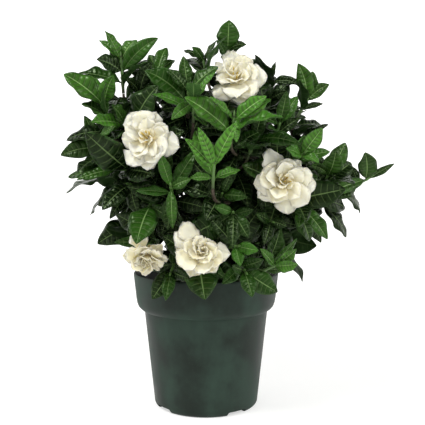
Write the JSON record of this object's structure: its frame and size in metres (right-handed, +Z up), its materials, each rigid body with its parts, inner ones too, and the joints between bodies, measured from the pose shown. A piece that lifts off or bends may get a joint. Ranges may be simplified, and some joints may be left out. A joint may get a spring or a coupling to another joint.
{
  "type": "potted gardenia",
  "caption": "Evergreen flowering shrub with glossy whorled leaves and cream double blooms, standing in a plain round nursery pot with a deep collar",
  "frame": {"origin": "on the pot's axis, on the flat underside that it stands on", "axes": "+Z up, -Y is the front, where the blooms face, +X is to the right seen from the front"},
  "size_m": [0.3637, 0.2668, 0.426],
  "materials": {
    "pot_plastic": "moulded polypropylene, dark grey-green, satin to matt, faintly mottled and dusty",
    "potting_mix": "damp composted bark and peat, crumbly",
    "bark": "thin grey-brown bark, green towards the shoot tips",
    "leaves": "glossy waxy evergreen leaf, quilted between pale side veins",
    "young_leaves": "glossy fresh yellow-green leaf",
    "petals": "soft velvety cream-white petal, warmer towards the middle"
  },
  "bodies": {
    "root": {"pot": "pot_plastic", "potting_mix": "potting_mix", "woody_branches": "bark", "bloom_left": "petals", "bloom_top": "petals", "bloom_right": "petals", "bloom_rim": "petals", "bloom_low": "petals", "shoot_under_left": "leaves", "shoot_under_top": "leaves", "shoot_under_right": "leaves", "shoot_under_rim": "leaves", "shoot_under_low": "leaves", "shoot_crown_left": "leaves", "shoot_left_shoulder": "leaves", "shoot_left_up": "leaves", "shoot_left_fan": "leaves", "shoot_left_side": "leaves", "shoot_left_arm": "leaves", "shoot_left_low": "leaves", "shoot_star_left": "leaves", "shoot_left_low_in": "leaves", "shoot_rim_left": "leaves", "shoot_rim_right": "leaves", "shoot_right_low": "young_leaves", "shoot_front_large": "leaves", "shoot_front_low": "leaves", "shoot_mid_low": "leaves", "shoot_mid_deep": "leaves", "shoot_centre_sprig": "young_leaves", "shoot_upper_mid": "young_leaves", "shoot_upper_left_mid": "young_leaves", "shoot_top_mid": "leaves", "shoot_top_left_mid": "leaves", "shoot_top_tall": "leaves", "shoot_top_left_in": "leaves", "shoot_top_right": "leaves", "shoot_top_right_front": "leaves", "shoot_right_top": "leaves", "shoot_right_up": "leaves", "shoot_right_mid": "leaves", "shoot_above_right_bloom": "leaves", "shoot_right_arm_mid": "leaves", "shoot_right_arm_tip": "leaves", "shoot_below_right_bloom": "leaves", "shoot_below_right_in": "leaves", "shoot_right_low_in": "leaves", "shoot_back_0_0": "leaves", "shoot_back_0_1": "leaves", "shoot_back_0_2": "leaves", "shoot_back_0_3": "leaves", "shoot_back_1_0": "leaves", "shoot_back_1_1": "leaves", "shoot_back_1_2": "leaves", "shoot_back_1_3": "leaves", "shoot_back_1_4": "leaves", "shoot_back_2_0": "leaves", "shoot_back_2_1": "leaves", "shoot_back_2_2": "leaves", "shoot_back_2_3": "leaves"}
  },
  "joints": []
}
